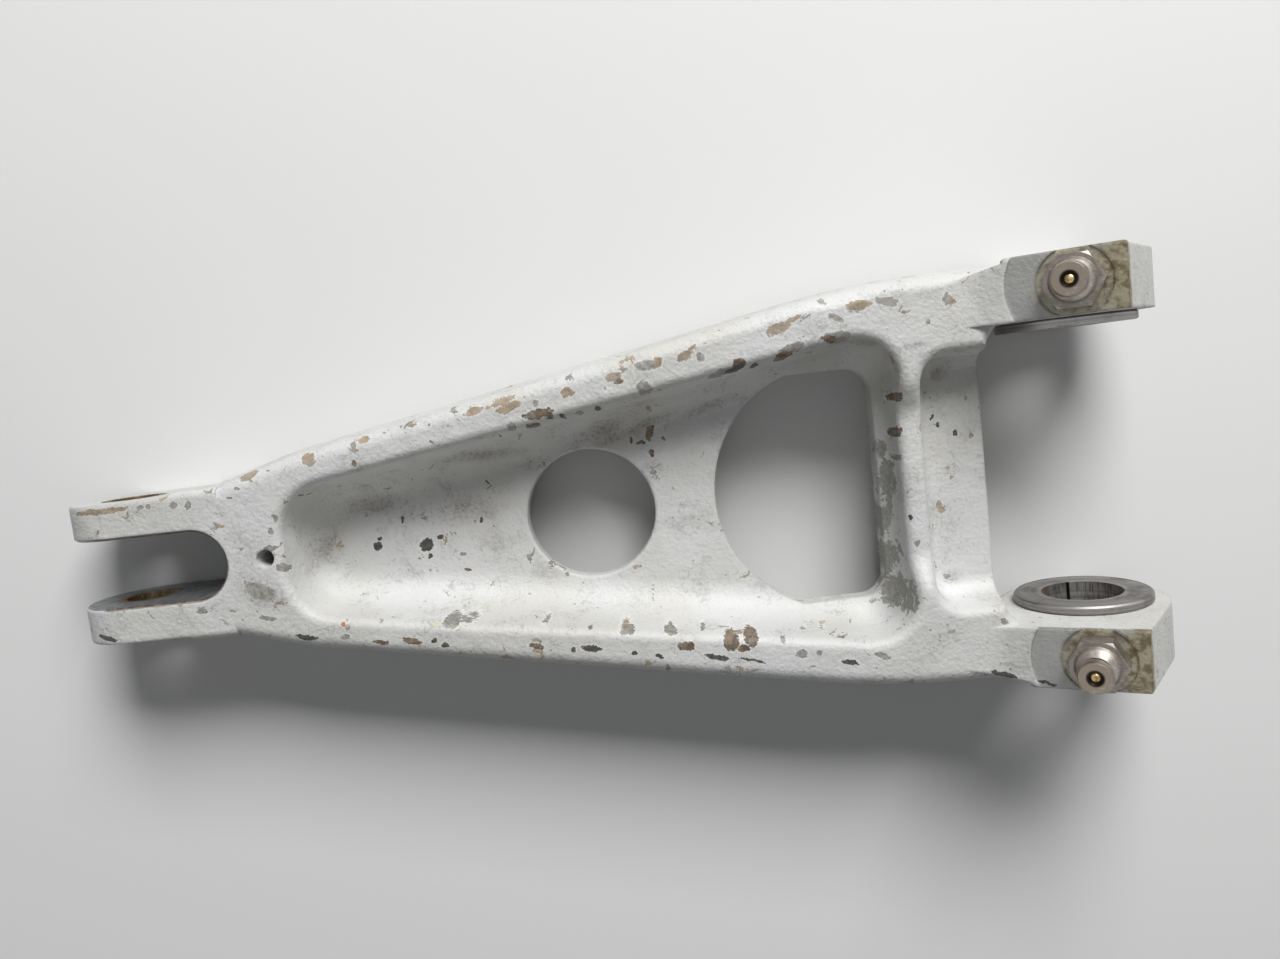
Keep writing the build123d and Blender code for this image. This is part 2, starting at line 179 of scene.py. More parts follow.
# One material, or the world. What is the same all over is set on the shader itself
class Finish:
    def __init__(self, owner, constants=None):
        self.owner = owner
        owner.use_nodes = True
        self.tree = owner.node_tree
        self.shader = self.tree.nodes.get("Principled BSDF") or self.tree.nodes["Background"]
        for socket, value in (constants or {}).items():
            self.shader.inputs[socket].default_value = value

    def feed(self, socket, value):
        if isinstance(value, Value):
            self.tree.links.new(value.socket, socket)
        else:
            socket.default_value = value

    def node(self, kind, settings=None, values=(), output=0):
        made = self.tree.nodes.new(kind)
        for name, setting in (settings or {}).items():
            setattr(made, name, setting)
        pairs = values.items() if isinstance(values, dict) else enumerate(values)
        for name, value in pairs:
            self.feed(made.inputs[name], value)
        return Value(self, made.outputs[output])

    # millimetres from a place on the knee, turned by a lean towards the narrow end
    def places(self, centre=(0, 0, 0), lean=0.0):
        seen = self.node("ShaderNodeTexCoord", output="Object")
        angle = -restAngle() - radians(lean)
        values = {"Location": place(*centre), "Rotation": (0, angle, 0), "Scale": (mm, mm, mm)}
        return self.node("ShaderNodeMapping", {"vector_type": "TEXTURE"}, {"Vector": seen, **values})

    # 1 for what the camera, metal and glass see, 0 for plain light
    def seen(self):
        path = self.node("ShaderNodeLightPath", output="Is Camera Ray")
        outputs = path.socket.node.outputs
        for name in ("Is Glossy Ray", "Is Transmission Ray"):
            path = path.most(Value(self, outputs[name]))
        return path

    def split(self, vector):
        made = self.node("ShaderNodeSeparateXYZ", None, (vector,)).socket.node
        return [Value(self, socket) for socket in made.outputs]

    def join(self, x, y, z):
        return self.node("ShaderNodeCombineXYZ", None, (x, y, z))

    def length(self, vector):
        return self.node("ShaderNodeVectorMath", {"operation": "LENGTH"}, (vector,), "Value")

    # a noise of so many millimetres a blotch
    def noise(self, vector, blotch, detail=3.0, roughness=0.55, distortion=0.0):
        values = {"Vector": vector, "Scale": 1.0 / blotch, "Detail": detail}
        values.update({"Roughness": roughness, "Distortion": distortion})
        return self.node("ShaderNodeTexNoise", None, values)

    # vectors: the first times the second, plus the third
    def scaledAndMoved(self, *vectors):
        return self.node("ShaderNodeVectorMath", {"operation": "MULTIPLY_ADD"}, vectors)

    def stretched(self, vector, *factors):
        return self.node("ShaderNodeVectorMath", {"operation": "MULTIPLY"}, (vector, factors))

    def mix(self, factor, first, second):
        return self.node("ShaderNodeMix", {"data_type": "RGBA"}, {0: factor, 6: first, 7: second}, 2)

    # lays several colours over one another: pairs of a mask and a colour
    def layers(self, base, *coats):
        for mask, colour in coats:
            base = self.mix(mask, base, colour)
        return base

    # the least distance to a set of ovals, 1 at their rims, each given by its place, half
    # length, half width and angle seen from the front. After every few ovals the next ones
    # wait for the ones before by a share of nothing: the renderer works out side by side
    # what it can, and runs out of room with so many
    def ovals(self, vector, spots, depth):
        least = self.length(vector) + farAway
        for angle in sorted({spot[5] for spot in spots}):
            alike = [spot for spot in spots if spot[5] == angle]
            for first in range(0, len(alike), ovalsAtOnce):
                here = self.scaledAndMoved(least, waiting, vector)
                if angle:
                    back = {"Vector": here, "Rotation": (0, 0, -radians(angle))}
                    here = self.node("ShaderNodeMapping", None, back)
                for x, t, n, long, wide, _ in alike[first:first + ovalsAtOnce]:
                    middle = Matrix.Rotation(-radians(angle), 2) @ Vector((x, t))
                    shift = (-middle.x / long, -middle.y / wide, -n / depth)
                    oval = self.scaledAndMoved(here, (1 / long, 1 / wide, 1 / depth), shift)
                    least = self.length(oval).least(least)
        return least

    # height in millimetres; edges are rounded to the eye by a small bevel
    def relief(self, height, rounding=0.3):
        normal = self.node("ShaderNodeBevel", {"samples": 4}, {"Radius": rounding * mm})
        values = {"Strength": 1.0, "Distance": mm, "Height": height, "Normal": normal}
        self.feed(self.shader.inputs["Normal"], self.node("ShaderNodeBump", None, values))

    def wear(self, sockets):
        for socket, value in sockets.items():
            self.feed(self.shader.inputs[socket], value)


# Light: one large soft lamp beyond the left lug, a weak one across from it and a pale world.
# Both lamps are turned to the middle of the knee
lamps = {
    "key": {"at": (0.13, 0.78, 0.60), "size": (0.60, 0.45), "watts": 12.2},
    "fill": {"at": (-0.30, -0.60, 0.75), "size": (0.80, 0.60), "watts": 0.5},
}
lampsAim = (-95.0, 0.0, 0.0)
world = {"colour": (0.95, 0.97, 1.0, 1.0), "lighting": 0.09, "seen": 0.9}
floor = {
    "halfSize": 6.0,
    "roughness": 0.85,
    "seen": (0.84, 0.84, 0.83, 1.0),
    "lighting": (0.20, 0.20, 0.20, 1.0),
    "dark": (0.0, 0.0, 0.0, 1.0),
    "far": (0.95, 0.97, 1.0, 1.0),
    "farFrom": 0.32,
    "farTo": 1.8,
    "farLevel": 0.70,
}


def makeLamps():
    middle = place(*lampsAim)
    for name, lamp in lamps.items():
        data = bpy.data.lights.new(name, "AREA")
        data.shape = "RECTANGLE"
        data.size, data.size_y = lamp["size"]
        data.energy = lamp["watts"]
        body = newObject(name, data)
        body.location = lamp["at"]
        body.rotation_euler = (Vector(lamp["at"]) - middle).to_track_quat("Z", "Y").to_euler()


# the world lights weakly, but is seen pale
def makeWorld():
    f = Finish(bpy.data.worlds.new("studio"), {"Color": world["colour"]})
    bpy.context.scene.world = f.owner
    f.wear({"Strength": f.seen() * (world["seen"] - world["lighting"]) + world["lighting"]})


# it throws little light back, and far away, where the lamps don't reach, it is seen as pale
# as the world behind it
def makeFloorFinish():
    c = floor
    constants = {"Roughness": c["roughness"], "Emission Strength": c["farLevel"]}
    f = Finish(bpy.data.materials.new("floor"), constants)
    seen = f.seen()
    away = f.length(f.node("ShaderNodeTexCoord", output="Object"))
    far = ((away - c["farFrom"]) * (1 / (c["farTo"] - c["farFrom"]))).least(1.0).most(0.0)
    glow = f.mix(far * seen, c["dark"], c["far"])
    f.wear({"Base Color": f.mix(seen, c["lighting"], c["seen"]), "Emission Color": glow})
    return f.owner


def makeFloor():
    shape = bmesh.new()
    bmesh.ops.create_grid(shape, x_segments=1, y_segments=1, size=floor["halfSize"])
    bmesh.ops.translate(shape, verts=shape.verts, vec=(0, 0, cadBox[0].z))
    mesh = bpy.data.meshes.new("floor")
    shape.to_mesh(mesh)
    shape.free()
    mesh.materials.append(makeFloorFinish())
    newObject("floor", mesh)


makeCamera()
makeLamps()
makeWorld()
makeFloor()
print("camera, lamps and floor made")


# Painted forging
forging = {
    "paint": screen(215, 215, 214),
    "paintWarm": screen(207, 206, 201),
    "paintDull": screen(180, 179, 176),
    # painted highlight: a paler ring round every chip, for light on the paint's broken edge
    "chipEdgeHighlight": screen(232, 232, 230),
    "speck": screen(96, 92, 84),
    "primer": (screen(178, 160, 136), screen(146, 132, 112)),
    "rust": (screen(84, 70, 57), screen(132, 114, 94)),
    "metal": (screen(134, 132, 126), screen(164, 161, 154)),
    "pit": (screen(58, 56, 52), screen(88, 85, 79)),
    # dirt and painted shade
    "dirtAndShade": screen(112, 104, 92),
    "scuffed": (screen(138, 138, 133), screen(164, 162, 155)),
    "machined": (screen(134, 134, 131), screen(154, 153, 149)),
    "grease": (screen(156, 143, 92), screen(96, 80, 50)),
    "slotMetal": (screen(112, 115, 119), screen(150, 151, 152)),
    "orange": screen(188, 112, 62),
    "yellow": screen(206, 202, 120),
    "roughness": 0.52,
    "edgeRounding": 0.8,
    # relief: size of a blotch, detail, harshness and height in mm
    "lumps": ((11.0, 2, 0.55, 0.34), (2.6, 2, 0.55, 0.17), (0.8, 2, 0.6, 0.15)),
    "crackWeb": 5.5,
    "speckCells": 0.62,
    "swayFrom": (31.0, 17.0, 5.0),
    "chipSway": 1.7,
    "chipCrumble": 1.1,
    "chipDepth": 6.5,
    "dirtAndShadeDepth": 8.0,
    "scuffDepth": 16.0,
    "ridgeBand": (-4.2, -1.6),
    "ridgeEnds": (-184.0, -22.0),
    "padRadius": 12.0,
    # radius of the painted shade round each hexagon's foot
    "hexShadeRadius": 6.6,
    "throatCentre": -181.4,
    "halfSlot": 7.0,
}
# Chips and stains seen on the part: x, t, n, half length, half width in mm, angle in degrees
chips = {
    "tan": [
        (-156.6, -10.6, 12.8, 1, 0.5, -15), (-148.6, -12.3, 12.8, 1.3, 0.9, -15),
        (-59, -22.5, -1, 3.2, 0.7, -15), (-198.6, 13.1, 12.8, 6.4, 0.6, 0),
        (-185.1, 14.3, 12.8, 1, 0.4, 0), (-154.6, 18.8, 12.8, 1.5, 1.2, 0),
        (-133.1, 23.2, 12.8, 1.1, 0.4, 0), (-123, -16.2, 12.8, 1.8, 0.9, 0),
        (-118.8, -16.8, 12.8, 1, 0.9, 0), (-116, -17.1, 12.8, 0.6, 0.3, 0),
        (-112.2, -17.9, 12.8, 0.6, 0.5, 0), (-110, -17.7, 12.8, 0.6, 0.5, 0),
        (-101.8, 26, 12.8, 1.4, 1, 0), (-95.8, -21.3, 12.8, 1.6, 1.2, 0),
        (-88.4, -21.9, 12.8, 0.6, 0.6, 0), (-84.2, -22.7, 12.8, 0.6, 0.5, 0),
        (-83.5, 29.9, 12.8, 1, 1.1, 0), (-66.2, -25.3, 12.8, 2.2, 0.5, 0),
        (-44.3, 36.2, 12.8, 2.5, 0.9, 0), (-178.5, 15.8, 12.8, 1.2, 0.4, 15),
        (-167.5, 16.9, 12.8, 2.1, 0.9, 15), (-143.2, 21.3, 12.8, 1.2, 0.7, 15),
        (-120.5, 24.5, 12.8, 2, 0.8, 15), (-114.5, 25.8, 12.8, 2.6, 0.7, 15),
        (-113.7, 24.4, 12.8, 2.5, 0.8, 15), (-92.4, 28.2, 12.8, 1.8, 0.8, 15),
        (-78.2, 30.5, 12.8, 1.6, 0.9, 15), (-60, 33.6, 12.8, 2.3, 1, 15),
        (-56.9, 35, 12.8, 1.9, 0.5, 15), (-76.5, 31.8, 12.8, 1, 0.5, 30),
    ],
    "grey": [
        (-163.4, -2.4, 12.8, 1.2, 0.8, -45), (-174.6, -10.2, 12.8, 0.6, 0.4, -30),
        (-168.4, -6.5, 12.8, 3.2, 1.7, -30), (-48.7, 34.4, 12.8, 1.7, 0.6, -30),
        (-45.5, -33, 12.8, 1.6, 0.7, -30), (-167.7, -12.2, 12.8, 2, 0.5, -15),
        (-130, -5.8, -1, 0.8, 0.4, -15), (-87.1, -23.7, 12.8, 1.4, 0.7, -15),
        (-56.2, -27.4, 12.8, 1.6, 0.5, -15), (-27.5, 35.3, 12.8, 0.8, 1.1, -15),
        (-190.1, 13, 12.8, 0.8, 0.6, 0), (-188.2, 13, 12.8, 0.6, 0.6, 0),
        (-183.3, 12.7, 12.8, 1, 0.7, 0), (-180.9, -9.1, 12.8, 1, 0.8, 0),
        (-180.3, 12.3, 12.8, 0.7, 0.9, 0), (-171.5, 13, 12.8, 0.6, 0.4, 0),
        (-170, 14.7, 12.8, 0.6, 0.3, 0), (-164.5, 5.5, 12.8, 0.6, 0.7, 0),
        (-163.2, 8, 12.8, 0.4, 0.8, 0), (-152.5, -17.7, 12.8, 1, 0.6, 0),
        (-145.4, 20.4, 12.8, 0.6, 0.8, 0), (-131, -17.1, 12.8, 1.8, 1.5, 0),
        (-127.4, -16.7, 12.8, 2.4, 1, 0), (-113.6, 20.8, 12.8, 1, 0.9, 0),
        (-112, -19.2, 12.8, 1, 0.8, 0), (-108.1, 24.7, 12.8, 0.6, 0.8, 0),
        (-100.3, 21.8, 12.8, 1, 0.5, 0), (-100, -20.6, 12.8, 1, 0.5, 0),
        (-95.8, -22.8, 12.8, 1.6, 0.6, 0), (-90, -22.1, 12.8, 1.4, 0.5, 0),
        (-87.3, 7.3, -1, 0.6, 0.5, 0), (-86.6, 25.2, 12.8, 1.6, 1.4, 0), (-85.9, 29.4, 12.8, 2.5, 1, 0),
        (-80.5, -24.2, 12.8, 0.6, 0.5, 0), (-75.3, 29.8, 12.8, 1, 1, 0),
        (-64.8, -27.9, 12.8, 0.6, 0.5, 0), (-61.5, -30.7, 12.8, 1.2, 0.8, 0),
        (-60, -27.2, 12.8, 1, 0.4, 0), (-58.1, -31.1, 12.8, 0.7, 0.5, 0),
        (-53.9, -27, 12.8, 0.9, 0.4, 0), (-48.8, 30.7, 12.8, 2.9, 1.1, 0),
        (-39.2, 5.7, 10.4, 1.8, 1, 0), (-39.2, 3.4, 10.4, 1, 0.8, 0), (-35.9, -11.7, 10.4, 0.6, 0.7, 0),
        (-35.3, 34, 12.8, 0.9, 0.4, 0), (-31.1, 31.6, 12.8, 0.5, 0.5, 0),
        (-21.2, -28.4, 12.8, 0.8, 0.7, 0), (-165.3, 1.7, 12.8, 1.5, 0.8, 15),
        (-71.4, 26.4, 12.8, 2.9, 0.8, 15), (-57.4, 29.6, 12.8, 2.3, 1, 15),
    ],
    "dark": [
        (-122.8, 9.1, -1, 0.6, 0.3, -30), (-29.1, 12.6, 3, 0.3, 0.8, -30),
        (-201.4, -13, 12.8, 2.5, 0.6, -15), (-160.5, -16.9, 12.8, 2.5, 0.5, -15),
        (-157.2, 11.3, 12.8, 1.6, 0.3, -15), (-116.8, 18.8, 12.8, 0.3, 0.6, -15),
        (-103, -25.3, 12.8, 2, 0.7, -15), (-89.7, -28.4, 12.8, 1.2, 0.4, -15),
        (-78.3, -29.8, 12.8, 2.6, 0.5, -15), (-71.4, -31.1, 12.8, 2.4, 0.3, -15),
        (-52.2, -33.6, 12.8, 1.8, 0.5, -15), (-27.9, 10.8, 3, 0.3, 0.6, -15),
        (-24.8, 8.8, 3, 0.5, 0.7, -15), (-22.5, -39, 12.8, 2.4, 0.6, -15),
        (-14.8, -40.6, 12.8, 2.4, 0.6, -15), (-148.2, -2.1, -1, 1.1, 1.1, 0),
        (-147.5, -0.4, -1, 0.5, 0.4, 0), (-142.2, 3, -1, 0.4, 0.7, 0), (-137.5, -3, -1, 1.6, 1.4, 0),
        (-137, -5.5, -1, 0.6, 0.5, 0), (-134.5, -1.6, -1, 0.8, 0.5, 0),
        (-132.6, -21.5, 12.8, 1, 0.5, 0), (-125.2, 1.3, -1, 0.3, 0.7, 0),
        (-106.6, -25.1, 12.8, 0.6, 0.4, 0), (-103.5, 21.4, 12.8, 0.4, 0.6, 0),
        (-96.5, 21.8, 12.8, 0.8, 0.8, 0), (-94.8, -27.2, 12.8, 0.6, 0.4, 0),
        (-90.9, 22.4, 12.8, 0.6, 0.5, 0), (-64.9, 27, 12.8, 0.9, 0.5, 0),
        (-52.1, 28.2, 12.8, 2.9, 0.4, 0), (-36.9, -6.5, 10.4, 0.3, 0.6, 0),
        (-92.6, 21.8, 12.8, 1.6, 0.4, 15), (-81.7, 21.3, 12.8, 1.2, 0.4, 15),
        (-69.2, 26.7, 12.8, 2.1, 0.6, 15), (-134.5, -20.3, 12.8, 0.8, 0.5, 30),
        (-82.1, 23.1, 12.8, 1.2, 0.6, 30),
    ],
    "brown": [
        (-84.2, 14.2, -1, 0.7, 0.3, -45), (-145.3, -19.6, 12.8, 1.8, 0.5, -15),
        (-139, -20, 12.8, 2, 0.7, -15), (-114.2, -23.7, 12.8, 1.4, 0.7, -15),
        (-87, 15.6, -1, 0.8, 1.7, -15), (-50.4, 30.5, 12.8, 1.4, 0.7, -15),
        (-145.5, 17, 12.8, 0.6, 0.5, 0), (-129.4, -9.4, -1, 0.7, 0.3, 0),
        (-109.6, 20.1, 12.8, 1.6, 0.7, 0), (-108.1, 22.5, 12.8, 3.2, 1, 0),
        (-105.8, 22.5, 12.8, 0.9, 1.1, 0), (-91.6, 27.1, 12.8, 0.9, 0.6, 0),
        (-91.2, 14.4, -1, 0.4, 0.7, 0), (-89.3, 13.7, -1, 1, 0.5, 0), (-87.1, 11.3, -1, 0.6, 0.9, 0),
        (-84.3, -26.9, 12.8, 1.7, 1.1, 0), (-75.2, -27, 12.8, 1.6, 1.9, 0),
        (-72.8, -28.7, 12.8, 1, 0.8, 0), (-71.1, -26.6, 12.8, 1.4, 1.8, 0),
        (-38, 17.8, 10.4, 1.2, 0.9, 0), (-59.3, 28.1, 12.8, 1.9, 0.9, 15),
        (-67.9, 27.7, 12.8, 1.5, 1.1, 30), (-38.4, 10.7, 10.4, 1.4, 1, 30),
    ],
    "pale": [
        (-38.7, 36.3, 12.8, 2.3, 0.9, -15), (-63.3, 25.3, 12.8, 1.2, 0.5, 0),
    ],
    "orange": [
        (-152.5, -15, 12.8, 0.5, 0.4, 0),
    ],
    "yellow": [
        (-133.9, -17.2, 12.8, 0.3, 0.3, 0), (-125.3, -16.5, 12.8, 0.4, 0.4, 0),
    ],
}
# Dirt and painted shade: soft dark brown blotches in the pocket's corners, at the junctions and along
# the web under the upper arm's wall, where shade falls. x, t, n, half length, half width in mm, angle
# in degrees
dirtAndShadePlaces = [
    (-168.4, -6.5, 12.8, 6.9, 4.6, -30), (-161.7, -3.7, -1, 3.1, 3.5, 0),
    (-159.8, -1.2, -1, 5.6, 5.8, 0), (-147.5, 6.9, -1, 9.8, 3, 0), (-131.6, 3.6, -1, 15.2, 4.3, 0),
    (-123.5, 15, -1, 12.9, 1.7, 0), (-45.3, 28.8, 12.8, 6.5, 1.9, 0),
    (-41.7, -20.7, 10.4, 2.4, 3.7, 0), (-33.9, 27.5, 12.8, 3.4, 1, 0),
    (-27.5, -21.1, 3, 2.5, 2.3, 0), (-27.3, 21.6, 3, 2, 2.2, 0), (-14.5, -37.4, 12.8, 4.3, 3.7, 0),
    (-97.5, 17, -1, 12.7, 3, 15), (-91.1, 16.7, -1, 16.9, 1.9, 15), (-76, 19.2, -1, 10.5, 1.7, 15),
]
scuffedPlaces = [
    (-39.5, -22.2, 5, 2.5, 3.8, -30), (-40.8, -8.3, 5, 1.8, 5.4, -15),
    (-40.8, -16.1, 5, 2.3, 4.6, -15), (-40, -24.4, 12.8, 2.4, 1.6, 0), (-39.8, 7.1, 5, 1, 2.5, 0),
    (-39.5, 0.9, 5, 1.4, 4.9, 0), (-43.6, -25.2, 12.8, 2, 0.8, 15),
]


def makeForgingFinish():
    c = forging
    f = Finish(bpy.data.materials.new("paintedForging"))
    p = f.places()
    x, t, n = f.split(p)
    side = abs(t)
    blotch = f.noise(p, 26.0, 2)
    patch = f.noise(p, 7.0, 3, 0.6)
    grain = f.noise(p, 0.9, 3, 0.6)
    ragged = f.noise(p, 2.2, 3, 0.65)
    crumbs = f.noise(p, 0.7, 3, 0.7)
    sway = f.noise(f.scaledAndMoved(p, (1, 1, 1), c["swayFrom"]), 2.2, 3, 0.65)
    pulled = f.join(x + (ragged - 0.5) * c["chipSway"], t + (sway - 0.5) * c["chipSway"], n)

    # paint, warmer and duller in blotches, with fine cracks and small dark specks
    paint = f.mix(blotch.ramp(0.38, 0.62), c["paint"], c["paintWarm"])
    dull = patch.ramp(0.50, 0.80) * 0.35 + (patch * 0.35 + crumbs * 0.65).ramp(0.52, 0.62) * 0.45
    paint = f.mix(dull, paint, c["paintDull"])
    cracks = abs(f.noise(p, c["crackWeb"], 2, 0.5, 0.8) - 0.5).ramp(0.010, 0.003)
    cracks = cracks * patch.ramp(0.46, 0.58)
    strewn = {"Vector": p, "Scale": c["speckCells"], "Randomness": 1.0}
    cells = f.node("ShaderNodeTexVoronoi", None, strewn)
    chance = f.split(Value(f, cells.socket.node.outputs["Color"]))[0]
    specks = cells.ramp(0.16, 0.09) * chance.ramp(0.72, 0.80) * patch.ramp(0.42, 0.6)

    # chips noted on the part, by kind
    found = {}
    nearest = None
    for kind, spots in chips.items():
        reach = f.ovals(pulled, spots, c["chipDepth"]) + (crumbs - 0.5) * c["chipCrumble"]
        found[kind] = reach.ramp(1.04, 0.94)
        nearest = reach.least(nearest) if nearest else reach
    # painted highlight: a paler band just outside each chip, standing for light on its edge
    paintedChipEdgeHighlights = nearest.between(1.10, 1.24, 0.06)
    crumbly = 0.30 + patch.ramp(0.35, 0.65) * 0.5 + crumbs.ramp(0.48, 0.62) * 0.5
    # dirt, and painted shade in the recesses and under the upper arm
    dirtAndShade = f.ovals(p, dirtAndShadePlaces, c["dirtAndShadeDepth"]).ramp(1.1, 0.10) * crumbly
    scuffReach = f.ovals(p, scuffedPlaces, c["scuffDepth"])
    scuffed = (scuffReach + (ragged - 0.5) * 1.9 + (crumbs - 0.5) * 1.2).ramp(0.92, 0.80)

    # more chips of the same kinds along the arms' rounded edges and, few, anywhere
    slope = tan(radians(knee["armSlope"]))
    armEdge = x * slope + (knee["armHalfWidth"] + slope * knee["armStation"])
    ridge = (side - armEdge).between(*c["ridgeBand"], 0.6) * x.between(*c["ridgeEnds"], 3.0)
    ridge = ridge * abs(n - knee["midPlane"]).ramp(9.6, 10.8)
    spread = f.noise(p, 3.4, 4, 0.6, 0.6)
    kindNoise = f.noise(p, 14.0, 1)
    loose = (spread + ridge * 0.06).ramp(0.662, 0.672)
    loosePrimer = loose * kindNoise.ramp(0.47, 0.50)
    looseMetal = loose * kindNoise.ramp(0.50, 0.47)

    # faces that were machined after the forging
    pads = []
    greaseAndHexShade = []
    for half in (1, -1):
        q = f.places(seatPlace(half), knee["padLean"])
        across, along, up = f.split(q)
        radius = f.length(f.join(across, along, 0.0))
        inPad = radius.ramp(c["padRadius"] + 0.1, c["padRadius"] - 0.1)
        pads.append(inPad * abs(up).ramp(0.75, 0.6))
        stain = radius.between(4.6, 12.5, 0.8) * (across + (ragged - 0.5) * 7.0).ramp(2.0, 6.5)
        # painted shade: a darker ring round the foot of each hexagon, in the grease tones
        paintedHexShade = radius.ramp(c["hexShadeRadius"] + 1.0, c["hexShadeRadius"] - 1.2) * 0.85
        greaseAndHexShade.append(stain.most(paintedHexShade) * abs(up).ramp(1.6, 0.9))
    pad = pads[0].most(pads[1])
    # grease stains and the painted shade round the hexagons, in one mask
    grease = greaseAndHexShade[0].most(greaseAndHexShade[1])
    fromSlot = f.length(f.join((x - c["throatCentre"]).most(0.0), t, 0.0)) - c["halfSlot"]
    inSlot = fromSlot.ramp(0.35, 0.10) * x.ramp(-173.0, -174.0)
    slotRim = fromSlot.between(-0.2, 0.55, 0.25) * n.ramp(12.9, 13.2)
    slotRust = (slotRim + (ragged - 0.5) * 1.3).ramp(0.62, 0.90) * 0.8

    def tone(name, factor):
        return f.mix(factor, *c[name])

    grainy = grain.ramp(0.35, 0.65)
    raggy = ragged.ramp(0.36, 0.64)
    crumby = (crumbs * 0.6 + sway * 0.4).ramp(0.50, 0.60)
    colour = f.layers(
        paint,
        (cracks * 0.26, c["speck"]),
        (paintedChipEdgeHighlights * 0.6, c["chipEdgeHighlight"]),
        (specks * 0.8, c["speck"]),
        # dirt and painted shade, in one brown
        (dirtAndShade * 0.62, c["dirtAndShade"]),
        (pad * 0.85, tone("machined", patch)),
        (grease * (0.5 + raggy * 0.4), tone("grease", raggy)),
        (scuffed, tone("scuffed", grainy)),
        (loosePrimer, f.mix(crumby, tone("primer", raggy), c["metal"][1])),
        (looseMetal, tone("metal", raggy)),
        (found["pale"], tone("metal", 0.9)),
        (found["grey"], tone("metal", grainy)),
        (found["tan"], f.mix(crumby, tone("primer", raggy), c["metal"][1])),
        (found["brown"], f.mix(crumby, tone("rust", raggy), c["metal"][0])),
        (found["dark"], tone("pit", grainy)),
        (found["orange"], c["orange"]),
        (found["yellow"], c["yellow"]),
        (inSlot, tone("slotMetal", raggy)),
        (slotRust, tone("rust", raggy)),
    )
    bare = found["grey"].most(scuffed).most(looseMetal)
    chipped = bare.most(found["tan"]).most(found["brown"]).most(found["dark"]).most(loosePrimer)
    bareMetal = (bare * 0.35).most(pad * 0.35).most(inSlot * 0.75)
    rough = c["roughness"] + (grain - 0.5) * 0.25 + chipped * 0.12 - inSlot * 0.10 - grease * 0.14
    lumps = [f.noise(p, *lump) * depth for *lump, depth in c["lumps"]]
    f.wear({"Base Color": colour, "Roughness": rough, "Metallic": bareMetal})
    f.relief(sum(lumps), c["edgeRounding"])
    return f.owner


# Turned steel: the flanged bushings
bushing = {
    "steel": (screen(136, 133, 131), screen(166, 163, 159)),
    "stain": screen(74, 68, 60),
    "rust": screen(112, 84, 62),
    "joint": screen(26, 24, 22),
    "boreRadius": 7.94,
    "seamAt": 0.3,
}


def makeBushingFinish():
    c = bushing
    f = Finish(bpy.data.materials.new("turnedSteel"))
    p = f.places()
    x, t, n = f.split(p)
    radius = f.length(f.join(x, 0.0, n))
    blotch = f.noise(p, 5.0, 4, 0.6)
    grain = f.noise(p, 0.5, 3)
    rings = f.noise(f.join(radius * 5.0, t * 2.0, 0.0), 1.0, 2)
    inBore = radius.ramp(c["boreRadius"] + 0.1, c["boreRadius"] + 0.03)
    scores = f.noise(f.join(x * 1.4, t * 0.12, n * 1.4), 0.45, 3, 0.6)
    seam = abs(x - c["seamAt"]).ramp(0.42, 0.18) * inBore * n.ramp(1.0, -1.0)
    rusty = (inBore * x.ramp(-1.5, -6.5) + (blotch - 0.5) * 1.2).ramp(0.5, 0.8)
    colour = f.layers(
        f.mix(rings.ramp(0.35, 0.65), *c["steel"]),
        (blotch.ramp(0.50, 0.72) * 0.55, c["stain"]),
        (rusty * inBore * 0.8, c["rust"]),
        (inBore * scores.ramp(0.45, 0.65) * 0.7, c["stain"]),
        (seam, c["joint"]),
    )
    rough = 0.34 + blotch * 0.22 + inBore * 0.08
    f.wear({"Base Color": colour, "Roughness": rough, "Metallic": 1 - rusty * 0.5})
    f.relief(rings * 0.012 + grain * 0.006 + inBore * scores * 0.03 - seam * 0.3, 0.15)
    return f.owner


# Bronze sleeves in the ears
sleeve = {"bronze": (screen(116, 100, 78), screen(150, 132, 104)), "grime": screen(60, 50, 40)}


def makeSleeveFinish():
    f = Finish(bpy.data.materials.new("bronzeSleeve"), {"Metallic": 1.0})
    p = f.places()
    blotch = f.noise(p, 3.0, 4, 0.6)
    fine = f.noise(f.stretched(p, 1.0, 0.15, 1.0), 0.35, 3)
    base = f.mix(fine.ramp(0.35, 0.65), *sleeve["bronze"])
    colour = f.mix(blotch.ramp(0.42, 0.66) * 0.7, base, sleeve["grime"])
    f.wear({"Base Color": colour, "Roughness": 0.35 + blotch * 0.3})
    f.relief(fine * 0.02, 0.15)
    return f.owner


# Plated steel of the grease fittings, each with its own places because it leans
fitting = {
    "steel": (screen(134, 126, 119), screen(172, 163, 155)),
    "bright": screen(205, 200, 194),
    "brown": screen(112, 96, 72),
    "grime": screen(70, 60, 46),
    # near black: painted shade round the mouth of the nipple
    "dark": screen(36, 30, 24),
    "hexagonTop": 4.6,
    "neckFoot": 6.3,
    "neckTop": 7.1,
    "tip": 10.7,
}


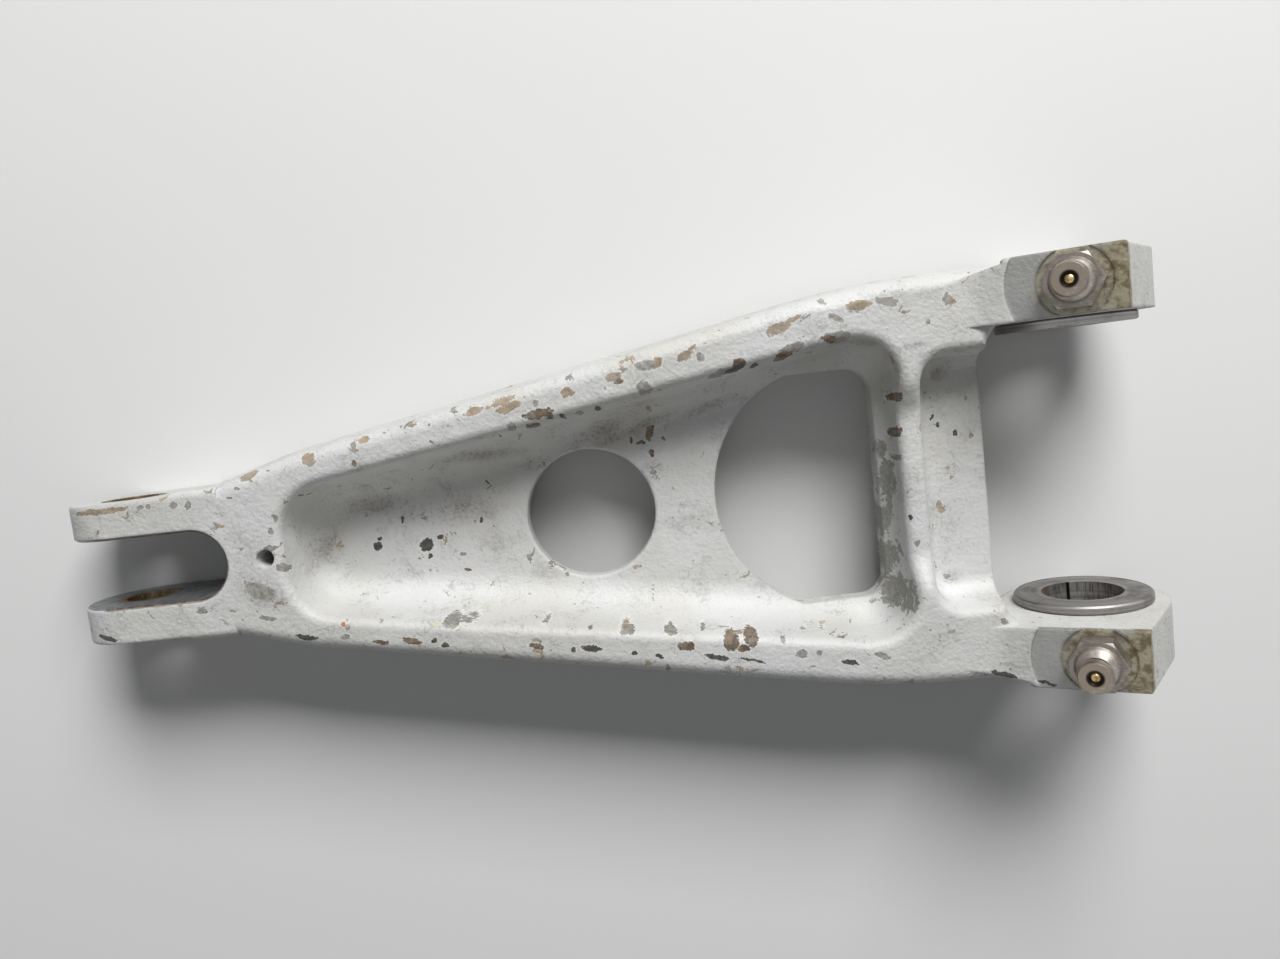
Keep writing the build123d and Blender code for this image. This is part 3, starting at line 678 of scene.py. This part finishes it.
def makeFittingFinish(half):
    c = fitting
    f = Finish(bpy.data.materials.new("platedSteel"))
    q = f.places(seatPlace(half), knee["padLean"])
    across, along, up = f.split(q)
    radius = f.length(f.join(across, along, 0.0))
    blotch = f.noise(q, 2.6, 4, 0.6)
    grain = f.noise(q, 0.4, 3)
    scratches = f.noise(f.stretched(q, 0.35, 1.6, 1.6), 0.4, 3, 0.6, 0.5)
    rings = f.noise(f.join(radius * 4.0, up * 4.0, 0.0), 1.0, 2)
    neck = up.between(c["neckFoot"], c["neckTop"] + 0.6, 0.4)
    foot = up.ramp(0.9, 0.1) + up.between(c["hexagonTop"] - 0.1, c["hexagonTop"] + 0.5, 0.25) * 0.8
    tip = up.ramp(c["tip"] - 1.2, c["tip"] - 0.2) * blotch.ramp(0.3, 0.55)
    # painted shade: the rim of the mouth, round the ball, darkened near black
    paintedMouthShade = radius.ramp(1.75, 1.35) * up.ramp(c["tip"] - 1.0, c["tip"] - 0.6)
    colour = f.layers(
        f.mix(blotch.ramp(0.35, 0.65), *c["steel"]),
        (scratches.ramp(0.58, 0.68) * 0.6, c["bright"]),
        (blotch.ramp(0.56, 0.70) * 0.55, c["brown"]),
        (tip * 0.6, c["brown"]),
        ((neck + foot) * (0.35 + blotch * 0.6), c["grime"]),
        (paintedMouthShade, c["dark"]),
    )
    f.wear({"Base Color": colour, "Roughness": 0.30 + blotch * 0.25, "Metallic": 0.95 - foot * 0.5})
    f.relief(rings * 0.012 + scratches * 0.012 + grain * 0.008, 0.2)
    return f.owner


# Check balls and their springs
ball = {"light": screen(196, 170, 128), "dark": screen(120, 96, 64), "roughness": 0.22}
springWire = {"light": screen(150, 150, 152), "dark": screen(110, 108, 106), "roughness": 0.3}


def makePlainMetal(name, metal):
    f = Finish(bpy.data.materials.new(name), {"Metallic": 1.0})
    p = f.places()
    blotch = f.noise(p, 0.8, 3)
    colour = f.mix(blotch.ramp(0.4, 0.7), metal["light"], metal["dark"])
    f.wear({"Base Color": colour, "Roughness": metal["roughness"] + blotch * 0.15})
    f.relief(f.noise(p, 0.2, 2) * 0.003, 0.05)
    return f.owner


forgingFinish = makeForgingFinish()
bushingFinish = makeBushingFinish()
sleeveFinish = makeSleeveFinish()
fittingFinish = {"left": makeFittingFinish(1), "right": makeFittingFinish(-1)}
ballFinish = makePlainMetal("tarnishedBall", ball)
springFinish = makePlainMetal("springWire", springWire)
print("finishes made")


def dress(node, finish):
    node.data.materials.clear()
    node.data.materials.append(finish)


dress(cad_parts["torque_knee_body"], forgingFinish)
for hand in ("left", "right"):
    dress(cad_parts[f"{hand}_lug_bushing"], bushingFinish)
    dress(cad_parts[f"{hand}_ear_bushing"], sleeveFinish)
    dress(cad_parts[f"{hand}_grease_fitting"], fittingFinish[hand])
    dress(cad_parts[f"{hand}_check_ball"], ballFinish)
print("pieces dressed")


# A valve spring, its foot in the fitting and its head against the ball: a welded copy of the solid,
# shown in its place
def makeSpring(hand):
    solidName = f"{hand}_ball_spring"
    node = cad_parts[solidName]
    shape = bmesh.new()
    shape.from_mesh(node.data)
    shape.transform(node.matrix_world)
    bmesh.ops.remove_doubles(shape, verts=shape.verts, dist=1e-3 * mm)
    mesh = bpy.data.meshes.new(f"{hand}_valve_spring")
    shape.to_mesh(mesh)
    shape.free()
    spring = newObject(f"{hand}_valve_spring", mesh)
    dress(spring, springFinish)
    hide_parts(solidName)
    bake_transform(spring)


makeSpring("left")
makeSpring("right")
print("valve springs made")

bpy.context.scene.view_settings.view_transform = "Standard"
